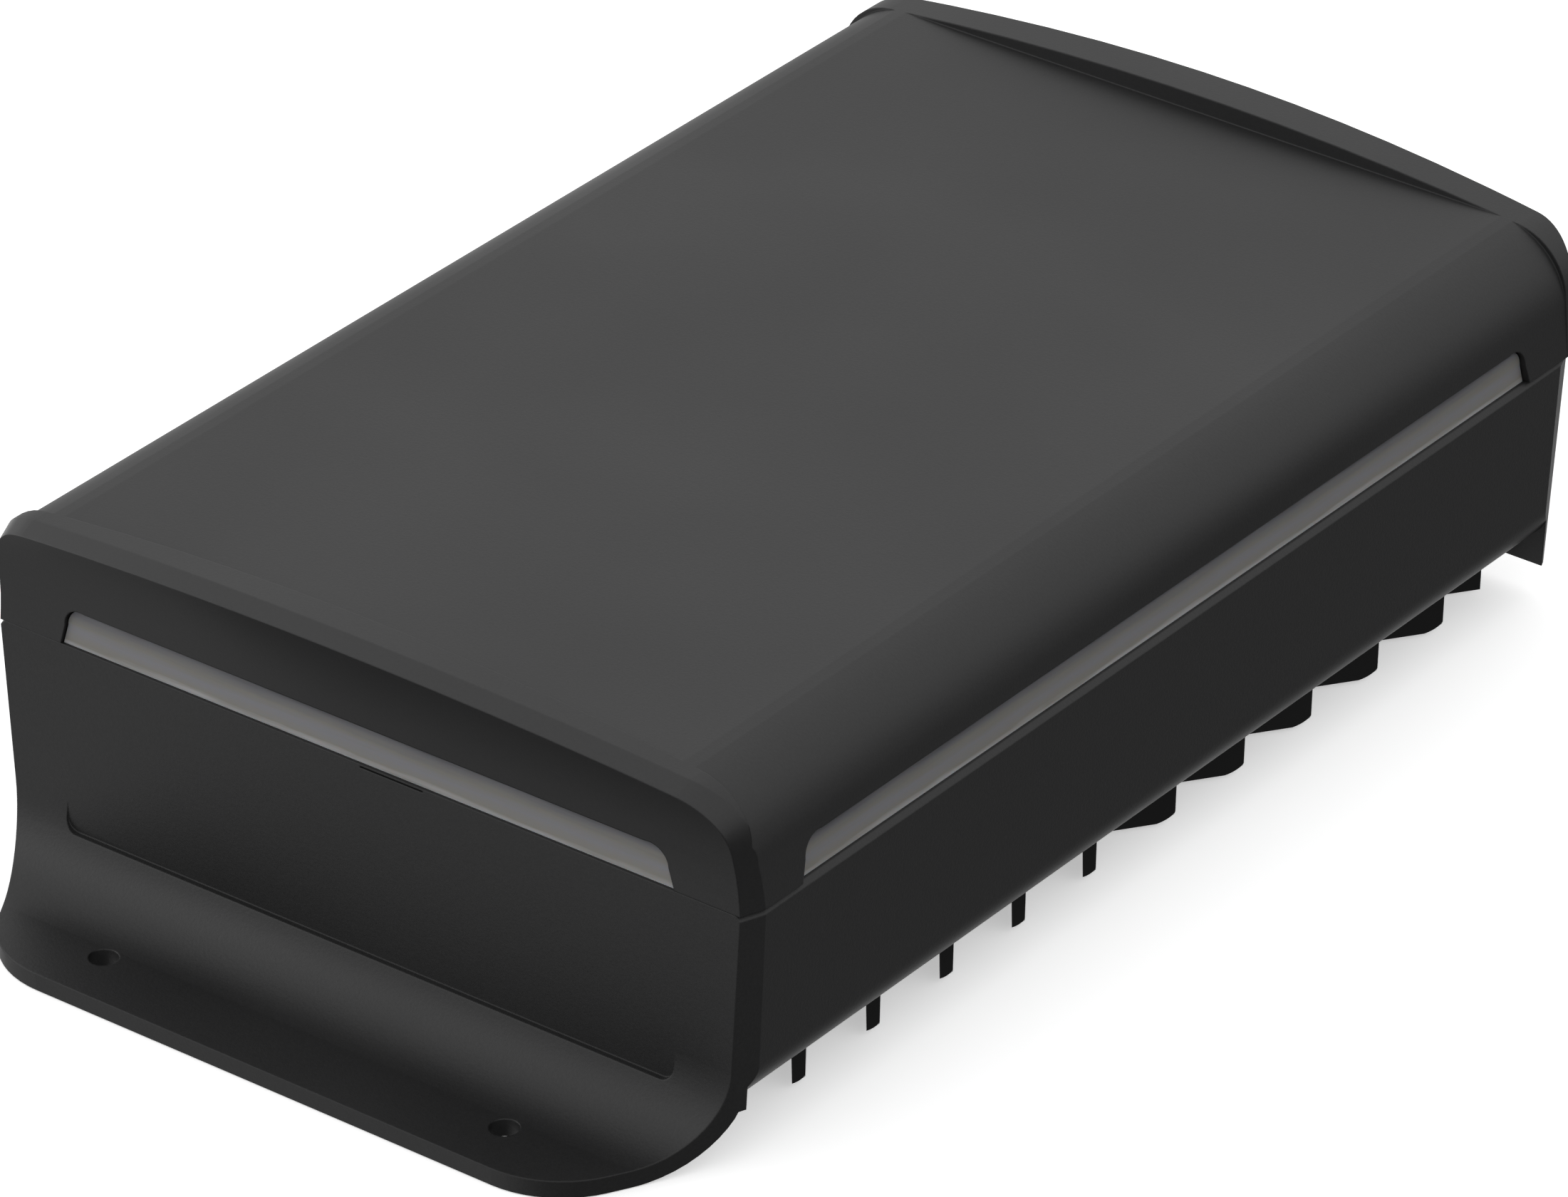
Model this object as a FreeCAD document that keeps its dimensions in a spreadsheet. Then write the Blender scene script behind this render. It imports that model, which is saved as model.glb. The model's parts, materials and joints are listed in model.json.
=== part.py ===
# Cellular signal booster: a plastic cover on a cast metal casing with a mounting flange
# at the front end, light bars along the parting line and a finned heat sink underneath.
# Millimetres.  X is the width, Y the length (the flange is at -Y), Z is up.
# Every piece is drawn about the middle of the parting plane between cover and casing,
# and is then moved so that the origin is the middle of the underside of the whole object.
import FreeCAD, Part
import math
import os
import re
import Sketcher
from FreeCAD import Rotation, Vector

os.makedirs("parts", exist_ok=True)
doc = FreeCAD.newDocument("cellular_signal_booster")

# ---------------------------------------------------------------- driving dimensions
SIZES = (
    # outside
    ("half_length", 115.0),          # end faces of the casing, from the middle
    ("half_width", 77.3),            # side faces at the parting plane
    ("side_draft", 3.1),             # degrees, casing sides narrow downwards
    # cover
    ("top_height", 22.4),            # flat top above the parting plane
    ("top_corner", 14.0),            # radius of the long top edges
    ("cover_lean", 0.8),             # how far the cover sides lean in
    ("cover_wall", 3.0),
    ("cover_roof", 2.6),
    ("rim_height", 25.7),            # top of the arched end rims
    ("rim_arch", 600.0),             # radius of the arch of the rims
    ("rim_corner", 11.2),            # radius where arch and side meet
    ("rim_land", 2.4),               # how far the rims reach inwards of the end faces
    ("flare_start", 2.45),           # height where the end face starts to sweep out
    ("flare_radius", 39.4),
    ("bevel_along", 4.3),            # bevel round both ends of cover and casing
    ("bevel_in", 1.7),
    # light bars
    ("front_window", 62.7),          # half length of the front window at its bottom
    ("side_window", 101.2),          # half length of the side windows at their bottom
    ("window_height", 7.3),
    ("window_slant", 2.1),
    ("window_corner", 3.5),
    ("bar_gap", 0.2),                # clearance round a light bar in its window
    ("bar_recess", 0.6),
    ("bar_lip", 1.0),                # overlap of the bar's lip behind the wall
    ("bar_lip_thickness", 1.6),
    # casing
    ("casing_depth", 37.0),
    ("casing_edge", 8.0),            # radius of the long bottom edges
    ("long_edge_reach", 112.2),      # where those rounded edges run into the cove sheet
    ("casing_wall", 3.0),
    ("end_wall", 3.5),
    ("floor_depth", 31.0),           # inside floor below the parting plane
    ("parting_bevel", 0.9),
    ("cavity_corner", 5.0),
    ("rear_skirt", 41.2),            # lower edge of the rear end plate
    ("cove_radius", 14.0),
    ("flange_depth", 43.5),          # top of the flange below the parting plane
    ("flange_thickness", 3.2),
    ("flange_reach", 29.2),          # from the end face, at the parting plane before draft
    ("flange_lean", 29.5),           # degrees, how the flange narrows forwards
    ("flange_corner", 20.8),
    ("mount_hole", 2.5),             # radius of the mounting holes
    ("mount_spacing", 82.8),
    ("mount_reach", 16.4),           # mounting holes from the end face
    ("label_half_width", 62.6),      # label recess in the cove
    ("label_bottom", 34.9),
    ("label_corner", 2.3),
    ("pry_start", -0.3),
    ("pry_width", 12.8),
    ("pry_depth", 0.3),
    ("pry_top", 0.35),
    # seal
    ("seal_inset", 1.6),
    ("seal_width", 1.2),
    ("seal_depth", 1.0),
    ("seal_gap", 0.15),
    # heat sink
    ("opening_half_width", 60.0),
    ("opening_margin", 17.0),        # opening in the floor, from the end face
    ("plate_half_width", 67.7),
    ("plate_margin", 6.3),
    ("plate_rebate", 2.5),
    ("plate_stand", 0.3),            # plate below the underside of the casing
    ("fit_gap", 0.3),
    ("fin_tip", 46.0),               # fin tips below the parting plane
    ("fin_thickness", 2.4),
    ("fin_draft", 1.0),
    ("fin_angle", 54.0),             # from the width direction
    ("fin_pitch", 19.63),
    ("fin_line", 66.7),              # width station where the fins are evenly pitched
    ("fin_end", 68.25),
    ("fin_margin", 2.5),             # fins stop short of the ends of the plate
    ("fin_round", 3.6),
    ("fin_lane", 3.0),               # half width of the clear lanes in the middle
    # fasteners
    ("boss_x", 64.5),
    ("boss_margin", 11.0),
    ("boss_radius", 3.4),
    ("screw_radius", 1.5),
    ("screw_gap", 0.3),
    ("head_radius", 2.75),
    ("head_height", 1.8),
    ("socket_radius", 1.4),
    ("socket_depth", 1.0),
    ("cover_screw_reach", 10.0),     # above the parting plane
    ("sink_screw_x", 64.0),
    # circuit board
    ("board_top", 14.4),             # below the parting plane
    ("board_thickness", 1.6),
    ("board_gap", 1.0),
    ("board_shoulder", 15.5),        # shoulders of the board from the end faces
    ("board_nose", 5.5),             # nose of the board from the end faces
    ("board_nose_half_width", 59.0),
    ("standoff_x", 63.0),
    ("standoff_y", 80.0),
    ("standoff_radius", 2.9),
    ("light_board_thickness", 1.6),
    ("light_board_gap", 3.0),        # behind the lip of a light bar
    ("light_board_top", 8.6),
    ("led_size", 3.0),
    ("led_thickness", 1.2),
    ("led_pitch", 24.0),
    # modules
    ("shield_width", 50.0),
    ("shield_length", 60.0),
    ("shield_height", 5.0),
    ("shield_wall", 0.4),
    ("shield_lane", 8.0),
    ("shield_start", 20.0),
    ("amp_length", 20.0),
    ("amp_width", 30.0),
    ("amp_height", 2.0),
    ("amp_x", 25.0),
    ("pad_thickness", 1.0),
    ("spreader_half_width", 50.0),
    ("spreader_length", 52.0),
    ("filter_width", 14.0),
    ("filter_length", 10.0),
    ("filter_height", 3.0),
    ("filter_spread", 14.0),
    ("processor_x", 30.0),
    ("processor_y", 24.0),
    ("processor_size", 15.0),
    ("memory_x", 8.0),
    ("memory_width", 9.0),
    ("memory_length", 12.0),
    ("chip_height", 1.2),
    ("antenna_x", 48.0),
    ("antenna_y", 92.0),
    ("antenna_width", 9.0),
    ("antenna_length", 3.2),
    ("coil_x", 44.0),
    ("coil_pitch", 17.0),
    ("coil_size", 11.0),
    ("coil_height", 5.0),
    ("capacitor_x", 26.0),
    ("capacitor_radius", 4.0),
    ("capacitor_height", 9.0),
    # sockets in the rear wall
    ("donor_x", -46.0),
    ("server_x", -22.0),
    ("port_x", 14.0),
    ("power_x", 44.0),
    ("thread_radius", 3.175),
    ("thread_gap", 0.3),
    ("neck_radius", 3.0),            # unthreaded barrel inside wall and nut
    ("thread_reach", 9.5),           # beyond the end face
    ("block_size", 8.0),
    ("washer_radius", 5.2),
    ("washer_thickness", 0.8),
    ("nut_radius", 4.62),
    ("nut_thickness", 2.2),
    ("coax_bore", 2.3),
    ("coax_depth", 8.0),
    ("contact_radius", 0.65),
    ("contact_length", 6.0),
    ("jack_radius", 3.7),
    ("jack_bore", 2.75),
    ("jack_depth", 9.0),
    ("jack_pin", 1.0),
    ("jack_body", 9.0),
    ("jack_length", 13.0),
    ("block_length", 11.5),
    ("port_depth", 7.0),
    ("port_length", 9.0),
    ("port_tongue", 0.8),
    ("port_width", 9.0),
    ("port_height", 3.2),
    ("port_wall", 0.3),
)

sheet = doc.addObject("Spreadsheet::Sheet", "Sizes")
for row, (alias, number) in enumerate(SIZES, start=1):
    sheet.set("A%d" % row, alias)
    sheet.set("B%d" % row, str(number))
    sheet.setAlias("B%d" % row, alias)
doc.recompute()
NAMES = {alias for alias, number in SIZES}

# places that several pieces share, as expressions on the sheet
SHIFT_Y = "(flange_reach - thread_reach - flange_depth * tan(side_draft)) / 2"
SHIFT_Z = "flange_depth + flange_thickness"
RIM_HALF = "(half_width - cover_lean)"
ARCH_FOOT = "(rim_height - rim_arch)"
RIM_AXIS_Z = ("(rim_height - rim_arch + sqrt((rim_arch - rim_corner)^2"
              " - (half_width - cover_lean - rim_corner)^2))")
INNER_END = "(half_length - end_wall)"
FLOOR_HALF = "(half_width - casing_wall - floor_depth * tan(side_draft))"
BOARD_UNDER = "(board_top + board_thickness)"
BOSS_Y = "(half_length - boss_margin)"
LIGHT_BOARD_FACE = "(cover_wall + bar_lip_thickness + light_board_gap)"
PLATE_TOP = "(casing_depth - plate_rebate)"
BOARD_TOP_Z = "-board_top"
SOCKET_AXIS = "(board_top - block_size / 2)"


def bound(text):
    """The expression with every named size read from the sheet."""
    return re.sub(r"[a-z_]+[a-z]", lambda word: "Sizes." + word.group(0)
                  if word.group(0) in NAMES else word.group(0), text)


def value(text):
    """What the expression comes to now."""
    return float(sheet.evalExpression(bound(text)))


# ---------------------------------------------------------------- Part primitives
PLACES = {}


def place(obj, across="0", along="0", up="0", turn=None):
    PLACES[obj.Name] = (across, along, up)
    if turn is not None:
        obj.Placement = FreeCAD.Placement(Vector(0, 0, 0), turn)
    obj.setExpression("Placement.Base.x", bound(across))
    obj.setExpression("Placement.Base.y", bound(along))
    obj.setExpression("Placement.Base.z", bound(up))
    return obj


def box(name, low, size):
    obj = doc.addObject("Part::Box", name)
    for key, text in zip(("Length", "Width", "Height"), size):
        obj.setExpression(key, bound(text))
    return place(obj, *low)


UP = None
REARWARD = Rotation(Vector(1, 0, 0), -90)


def cylinder(name, foot, radius, height, turn=UP):
    obj = doc.addObject("Part::Cylinder", name)
    obj.setExpression("Radius", bound(radius))
    obj.setExpression("Height", bound(height))
    return place(obj, *foot, turn=turn)


def hexagon(name, foot, radius, height, turn=UP):
    obj = doc.addObject("Part::Prism", name)
    obj.Polygon = 6
    obj.setExpression("Circumradius", bound(radius))
    obj.setExpression("Height", bound(height))
    return place(obj, *foot, turn=turn)


def fuse(name, shapes):
    obj = doc.addObject("Part::MultiFuse", name)
    obj.Shapes = shapes
    return obj


def cut(name, base, tool):
    obj = doc.addObject("Part::Cut", name)
    obj.Base = base
    obj.Tool = tool
    return obj


NODES = []


def node(obj, label):
    """Names the piece and moves it to the frame of the whole object."""
    obj.Label = label
    across, along, up = PLACES.get(obj.Name, ("0", "0", "0"))
    place(obj, across, "(%s) + %s" % (along, SHIFT_Y), "(%s) + %s" % (up, SHIFT_Z))
    NODES.append(obj)
    return obj


def screw(name, across, along, seat, length, upward):
    """A socket head screw; seat is the height of the face under its head."""
    head_low = "(%s) - head_height" % seat if upward else seat
    shank_low = seat if upward else "(%s) - (%s)" % (seat, length)
    socket_low = head_low if upward else "(%s) + head_height - socket_depth" % seat
    head = cylinder(name + "_head", (across, along, head_low), "head_radius", "head_height")
    shank = cylinder(name + "_shank", (across, along, shank_low), "screw_radius", length)
    socket = hexagon(name + "_socket", (across, along, socket_low), "socket_radius", "socket_depth")
    return cut(name, fuse(name + "_blank", [head, shank]), socket)


# ---------------------------------------------------------------- PartDesign bodies
def new_body(label):
    body = doc.addObject("PartDesign::Body", label)
    return node(body, label)


def sketch_on(body, name, role, offset="0"):
    support = [item for item in body.Origin.OriginFeatures if item.Role == role][0]
    sketch = body.newObject("Sketcher::SketchObject", name)
    sketch.AttachmentSupport = [(support, "")]
    sketch.MapMode = "FlatFace"
    sketch.setExpression("AttachmentOffset.Base.z", bound(offset))
    return sketch


def fix(sketch, kind, geometry, point, text):
    index = sketch.addConstraint(Sketcher.Constraint(kind, -1, 1, geometry, point, value(text)))
    sketch.setExpression("Constraints[%d]" % index, bound(text))


def outline(sketch, corners):
    """A closed loop.  A corner is (across, up), or (across, up, centre) when the side
    that arrives at it is an arc, shorter than half a turn, about that centre."""
    spots = [Vector(value(corner[0]), value(corner[1]), 0) for corner in corners]
    ends = []
    for index, corner in enumerate(corners):
        first, last = spots[index - 1], spots[index]
        if len(corner) == 2:
            number = sketch.addGeometry(Part.LineSegment(first, last), False)
            ends.append((number, 1, 2))
            continue
        middle = Vector(value(corner[2][0]), value(corner[2][1]), 0)
        turn = (first - middle).cross(last - middle).z
        start, stop = (first, last) if turn > 0 else (last, first)
        angle = [math.atan2(spot.y - middle.y, spot.x - middle.x) for spot in (start, stop)]
        if angle[1] < angle[0]:
            angle[1] += 2 * math.pi
        round_edge = Part.Circle(middle, Vector(0, 0, 1), (first - middle).Length)
        number = sketch.addGeometry(Part.ArcOfCircle(round_edge, angle[0], angle[1]), False)
        ends.append((number, 1, 2) if turn > 0 else (number, 2, 1))
    for index, corner in enumerate(corners):
        number, arrive, leave = ends[index]
        following = ends[(index + 1) % len(ends)]
        sketch.addConstraint(Sketcher.Constraint("Coincident", number, leave, following[0], following[1]))
        fix(sketch, "DistanceX", number, leave, corner[0])
        fix(sketch, "DistanceY", number, leave, corner[1])
    for index, corner in enumerate(corners):
        if len(corner) == 3:
            chord = spots[index] - spots[index - 1]
            sideways = abs(chord.x) < abs(chord.y)
            fix(sketch, "DistanceX" if sideways else "DistanceY", ends[index][0], 3,
                corner[2][0] if sideways else corner[2][1])


def rounded(sketch, left, low, right, high, radius):
    """A rectangle with round corners."""
    left_in, right_in = "(%s) + (%s)" % (left, radius), "(%s) - (%s)" % (right, radius)
    low_in, high_in = "(%s) + (%s)" % (low, radius), "(%s) - (%s)" % (high, radius)
    outline(sketch, [
        (left_in, low, (left_in, low_in)), (right_in, low),
        (right, low_in, (right_in, low_in)), (right, high_in),
        (right_in, high, (right_in, high_in)), (left_in, high),
        (left, high_in, (left_in, high_in)), (left, low_in)])


def rectangle(sketch, left, low, right, high):
    outline(sketch, [(left, low), (right, low), (right, high), (left, high)])


def circle(sketch, across, up, radius):
    middle = Vector(value(across), value(up), 0)
    number = sketch.addGeometry(Part.Circle(middle, Vector(0, 0, 1), value(radius)), False)
    fix(sketch, "DistanceX", number, 3, across)
    fix(sketch, "DistanceY", number, 3, up)
    index = sketch.addConstraint(Sketcher.Constraint("Radius", number, value(radius)))
    sketch.setExpression("Constraints[%d]" % index, bound(radius))


def grow(body, kind, name, sketch, length=None, both_ways=False, backward=False):
    """Adds a Pad or a Pocket and makes sure that it changed the solid."""
    before = body.Shape.Volume if body.Tip is not None and not body.Shape.isNull() else 0.0
    feature = body.newObject("PartDesign::" + kind, name)
    feature.Profile = sketch
    if length is None:
        feature.Type = "ThroughAll"
    else:
        feature.setExpression("Length", bound(length))
    feature.Midplane = both_ways
    feature.Reversed = backward
    doc.recompute()
    change = body.Shape.Volume - before
    if kind == "Pad" and change <= 0 or kind == "Pocket" and change >= 0:
        raise RuntimeError("%s changed nothing: %.3f" % (name, change))
    return feature


def dress(body, kind, name, test, **sizes):
    """A Fillet or Chamfer on the edges that pass the test."""
    base = body.Tip
    picked = ["Edge%d" % (number + 1) for number, edge in enumerate(base.Shape.Edges) if test(edge)]
    if not picked:
        raise RuntimeError("no edge for " + name)
    feature = body.newObject("PartDesign::" + kind, name)
    feature.Base = (base, picked)
    if "Size2" in sizes:
        feature.ChamferType = "Two distances"
    for key, text in sizes.items():
        feature.setExpression(key, bound(text))
    doc.recompute()
    return feature


# ================================================================= lower casing
casing = new_body("lower_casing")
plan = sketch_on(casing, "CasingPlan", "XY_Plane")
FRONT_Y = "-(half_length + flange_reach)"
CORNER_X = ("(half_width - bevel_in - (flange_reach - flange_corner) * tan(flange_lean)"
            " - flange_corner / cos(flange_lean))")
CORNER_Y = "-(half_length + flange_reach - flange_corner)"
SIDE_TANGENT_X = CORNER_X + " + flange_corner * cos(flange_lean)"
SIDE_TANGENT_Y = CORNER_Y + " - flange_corner * sin(flange_lean)"
outline(plan, [
    ("half_width", "-(half_length - bevel_along)"),
    ("half_width", "half_length - bevel_along"),
    ("half_width - bevel_in", "half_length"),
    ("-(half_width - bevel_in)", "half_length"),
    ("-half_width", "half_length - bevel_along"),
    ("-half_width", "-(half_length - bevel_along)"),
    ("-(half_width - bevel_in)", "-half_length"),
    ("-(%s)" % SIDE_TANGENT_X, SIDE_TANGENT_Y),
    ("-" + CORNER_X, FRONT_Y, ("-" + CORNER_X, CORNER_Y)),
    (CORNER_X, FRONT_Y),
    (SIDE_TANGENT_X, SIDE_TANGENT_Y, (CORNER_X, CORNER_Y)),
    ("half_width - bevel_in", "-half_length")])
block = grow(casing, "Pad", "CasingBlock", plan, SHIFT_Z, backward=True)
block.setExpression("TaperAngle", bound("-side_draft"))
doc.recompute()


def top_outer_edge(edge):
    level = casing.Tip.Shape.BoundBox.ZMax
    return all(abs(vertex.Z - level) < 0.001 for vertex in edge.Vertexes)


dress(casing, "Chamfer", "PartingBevel", top_outer_edge, Size="parting_bevel")

# front end face, cove and flange top, cut across the whole width
profile = sketch_on(casing, "EndProfile", "YZ_Plane")
COVE_Y = "-(half_length + cove_radius)"
outline(profile, [
    ("-half_length", "1"),
    ("-half_length", "-(flange_depth - cove_radius)"),
    (COVE_Y, "-flange_depth", (COVE_Y, "-(flange_depth - cove_radius)")),
    ("-(half_length + 2 * flange_reach)", "-flange_depth"),
    ("-(half_length + 2 * flange_reach)", "1")])
grow(casing, "Pocket", "EndCut", profile, both_ways=True)

# underside: the cove sheet in front, the flat bottom, and the lower edge of the rear end plate
COVE_AXIS_Z = "-(flange_depth - cove_radius)"
SHEET_BACK = ("-(half_length + cove_radius - sqrt((cove_radius + flange_thickness)^2"
              " - (casing_depth - flange_depth + cove_radius)^2))")
under = sketch_on(casing, "UndersideProfile", "YZ_Plane")
outline(under, [
    (COVE_Y, "-2 * flange_depth"),
    (COVE_Y, "-(flange_depth + flange_thickness)"),
    (SHEET_BACK, "-casing_depth", (COVE_Y, COVE_AXIS_Z)),
    (INNER_END, "-casing_depth"),
    (INNER_END, "-rear_skirt"),
    ("2 * half_length", "-rear_skirt"),
    ("2 * half_length", "-2 * flange_depth")])
grow(casing, "Pocket", "UndersideCut", under, both_ways=True)

# long bottom edges
EDGE_LOW_X = "(half_width - casing_depth * tan(side_draft))"
EDGE_AXIS_X = "(%s + casing_edge * tan(side_draft) - casing_edge / cos(side_draft))" % EDGE_LOW_X
EDGE_AXIS_Z = "(casing_edge - casing_depth)"
edges = sketch_on(casing, "LongEdges", "XZ_Plane", "long_edge_reach")
for sign in ("", "-"):
    outline(edges, [
        (sign + EDGE_AXIS_X, "-casing_depth"),
        ("%s(%s + casing_edge * cos(side_draft))" % (sign, EDGE_AXIS_X),
         EDGE_AXIS_Z + " - casing_edge * sin(side_draft)", (sign + EDGE_AXIS_X, EDGE_AXIS_Z)),
        (sign + "2 * half_width", EDGE_AXIS_Z + " - casing_edge * sin(side_draft)"),
        (sign + "2 * half_width", "-casing_depth - 1"),
        (sign + EDGE_AXIS_X, "-casing_depth - 1")])
grow(casing, "Pocket", "LongEdgesCut", edges, INNER_END + " + long_edge_reach", both_ways=False)

# room inside, and the opening for the heat sink with a rebate for its plate
cavity = sketch_on(casing, "Cavity", "XY_Plane")
rounded(cavity, "-" + FLOOR_HALF, "-" + INNER_END, FLOOR_HALF, INNER_END, "cavity_corner")
grow(casing, "Pocket", "CavityCut", cavity, "floor_depth")
OPENING_END = "(half_length - opening_margin)"
opening = sketch_on(casing, "Opening", "XY_Plane")
rounded(opening, "-opening_half_width", "-" + OPENING_END, "opening_half_width", OPENING_END,
        "cavity_corner")
grow(casing, "Pocket", "OpeningCut", opening, "casing_depth + 1")
REBATE_HALF = "(plate_half_width + fit_gap)"
REBATE_END = "(half_length - plate_margin + fit_gap)"
rebate = sketch_on(casing, "Rebate", "XY_Plane", "-" + PLATE_TOP)
rounded(rebate, "-" + REBATE_HALF, "-" + REBATE_END, REBATE_HALF, REBATE_END, "cavity_corner")
grow(casing, "Pocket", "RebateCut", rebate, "plate_rebate + 0.5")

# groove for the seal
def seal_ring(sketch, gap):
    """Outline of the seal; gap is how much narrower than its groove on each side."""
    for inset, radius in (("(seal_inset + %s)" % gap, "cavity_corner + seal_width - %s" % gap),
                          ("(seal_inset + seal_width - %s)" % gap, "cavity_corner + %s" % gap)):
        half_x = "(half_width - %s)" % inset
        half_y = "(half_length - %s)" % inset
        rounded(sketch, "-" + half_x, "-" + half_y, half_x, half_y, radius)


groove = sketch_on(casing, "SealGroove", "XY_Plane")
seal_ring(groove, "0")
grow(casing, "Pocket", "SealGrooveCut", groove, "seal_depth")

# bosses for the cover screws
bosses = sketch_on(casing, "Bosses", "XY_Plane", "-floor_depth")
for side in ("", "-"):
    for end in ("", "-"):
        circle(bosses, side + "boss_x", end + BOSS_Y, "boss_radius")
grow(casing, "Pad", "BossPads", bosses, "floor_depth")
holes = sketch_on(casing, "BossHoles", "XY_Plane")
for side in ("", "-"):
    for end in ("", "-"):
        circle(holes, side + "boss_x", end + BOSS_Y, "screw_radius + screw_gap")
grow(casing, "Pocket", "BossHoleCut", holes)
heads = sketch_on(casing, "BossHeads", "XY_Plane", "-" + PLATE_TOP)
for side in ("", "-"):
    for end in ("", "-"):
        circle(heads, side + "boss_x", end + BOSS_Y, "head_radius + screw_gap")
grow(casing, "Pocket", "BossHeadCut", heads, "head_height + screw_gap", backward=True)

# tapped holes for the heat sink screws, midway between fins
SINK_STEPS = (2, 5)


def sink_screw_y(step):
    return "(fin_pitch * %d - (fin_line - sink_screw_x) * tan(fin_angle))" % step


tapped = sketch_on(casing, "SinkScrewHoles", "XY_Plane", "-floor_depth")
for side in ("", "-"):
    for end in ("", "-"):
        for step in SINK_STEPS:
            circle(tapped, side + "sink_screw_x", end + sink_screw_y(step), "screw_radius + screw_gap")
grow(casing, "Pocket", "SinkScrewHoleCut", tapped, "casing_depth - floor_depth")

# mounting holes in the flange
mounting = sketch_on(casing, "MountHoles", "XY_Plane", "-flange_depth")
for side in ("", "-"):
    circle(mounting, side + "mount_spacing / 2", "-(half_length + mount_reach)", "mount_hole")
grow(casing, "Pocket", "MountHoleCut", mounting, "2 * flange_thickness")

# flat recess for a label, let into the cove, and the pry notch at the parting line
label = sketch_on(casing, "LabelRecess", "XZ_Plane", "half_length")
LABEL_TOP = "-(flange_depth - cove_radius - 2 * label_corner)"
rounded(label, "-label_half_width", "-label_bottom", "label_half_width", LABEL_TOP, "label_corner")
grow(casing, "Pocket", "LabelRecessCut", label, "cove_radius", backward=True)
pry = sketch_on(casing, "PryNotch", "XZ_Plane", "half_length")
rectangle(pry, "pry_start", "-(pry_top + pry_depth)", "pry_start + pry_width", "-pry_top")
grow(casing, "Pocket", "PryNotchCut", pry, "seal_inset - 0.3")

# openings in the rear wall
rear_holes = sketch_on(casing, "RearHoles", "XZ_Plane", "-half_length")
for across in ("donor_x", "server_x"):
    circle(rear_holes, across, "-" + SOCKET_AXIS, "thread_radius + thread_gap")
circle(rear_holes, "power_x", "-" + SOCKET_AXIS, "jack_radius + thread_gap")
PORT_LOW = "-board_top"
rounded(rear_holes, "port_x - port_width / 2 - thread_gap", PORT_LOW + " - thread_gap",
        "port_x + port_width / 2 + thread_gap", PORT_LOW + " + port_height + thread_gap", "thread_gap")
grow(casing, "Pocket", "RearHoleCut", rear_holes, "end_wall + 0.5", backward=True)

# ================================================================= top cover
cover = new_body("top_cover")
RIM_CENTRE_X = "(half_width - cover_lean - rim_corner)"
MEET_X = "rim_arch * %s / (rim_arch - rim_corner)" % RIM_CENTRE_X
MEET_Z = "%s + rim_arch * (%s - %s) / (rim_arch - rim_corner)" % (ARCH_FOOT, RIM_AXIS_Z, ARCH_FOOT)
SWEEP_AXIS = "(half_length + flare_radius)"
rim = sketch_on(cover, "RimOutline", "XZ_Plane")
outline(rim, [
    ("half_width", "0"),
    (RIM_HALF, RIM_AXIS_Z),
    (MEET_X, MEET_Z, (RIM_CENTRE_X, RIM_AXIS_Z)),
    ("-(%s)" % MEET_X, MEET_Z, ("0", ARCH_FOOT)),
    ("-" + RIM_HALF, RIM_AXIS_Z, ("-" + RIM_CENTRE_X, RIM_AXIS_Z)),
    ("-half_width", "0")])
grow(cover, "Pad", "CoverBlock", rim, "2 * " + SWEEP_AXIS, both_ways=True)

# end faces: upright at the parting plane, sweeping outwards to the rim
ends = sketch_on(cover, "EndSweep", "YZ_Plane")
SWEEP_TOP = "(rim_height + 2)"
SWEEP_OUT = ("(half_length + flare_radius - sqrt(flare_radius^2"
             " - (rim_height + 2 - flare_start)^2))")
for sign in ("", "-"):
    outline(ends, [
        (sign + "half_length", "-1"),
        (sign + "half_length", "flare_start"),
        (sign + SWEEP_OUT, SWEEP_TOP, (sign + SWEEP_AXIS, "flare_start")),
        (sign + "2 * half_length", SWEEP_TOP),
        (sign + "2 * half_length", "-1")])
grow(cover, "Pocket", "EndSweepCut", ends, both_ways=True)


def end_outline(edge):
    """Edges of the end faces, apart from the level ones low down."""
    tips = [vertex.Point for vertex in edge.Vertexes]
    at_end = all(abs(tip.y) > value("half_length") - 0.001 for tip in tips)
    level = max(tip.z for tip in tips) - min(tip.z for tip in tips) < 0.001
    return at_end and not (level and tips[0].z < value("flare_start") + 0.001)


# one even bevel up the corners and over the rim
dress(cover, "Chamfer", "EndBevels", end_outline, Size="bevel_along", Size2="bevel_in")

# the long middle part is lower than the end rims and has larger corners
INNER_RIM = "(half_length - rim_land)"
TOP_CENTRE_X = "(half_width - cover_lean - top_corner)"
TOP_CENTRE_Z = "(top_height - top_corner)"
step_down = sketch_on(cover, "MiddleOutline", "XZ_Plane")
outline(step_down, [
    ("2 * half_width", "0"),
    ("2 * half_width", "2 * rim_height"),
    ("-2 * half_width", "2 * rim_height"),
    ("-2 * half_width", "0"),
    ("-half_width", "0"),
    ("-" + RIM_HALF, TOP_CENTRE_Z),
    ("-" + TOP_CENTRE_X, "top_height", ("-" + TOP_CENTRE_X, TOP_CENTRE_Z)),
    (TOP_CENTRE_X, "top_height"),
    (RIM_HALF, TOP_CENTRE_Z, (TOP_CENTRE_X, TOP_CENTRE_Z)),
    ("half_width", "0")])
grow(cover, "Pocket", "MiddleCut", step_down, "2 * " + INNER_RIM, both_ways=True)

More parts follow.
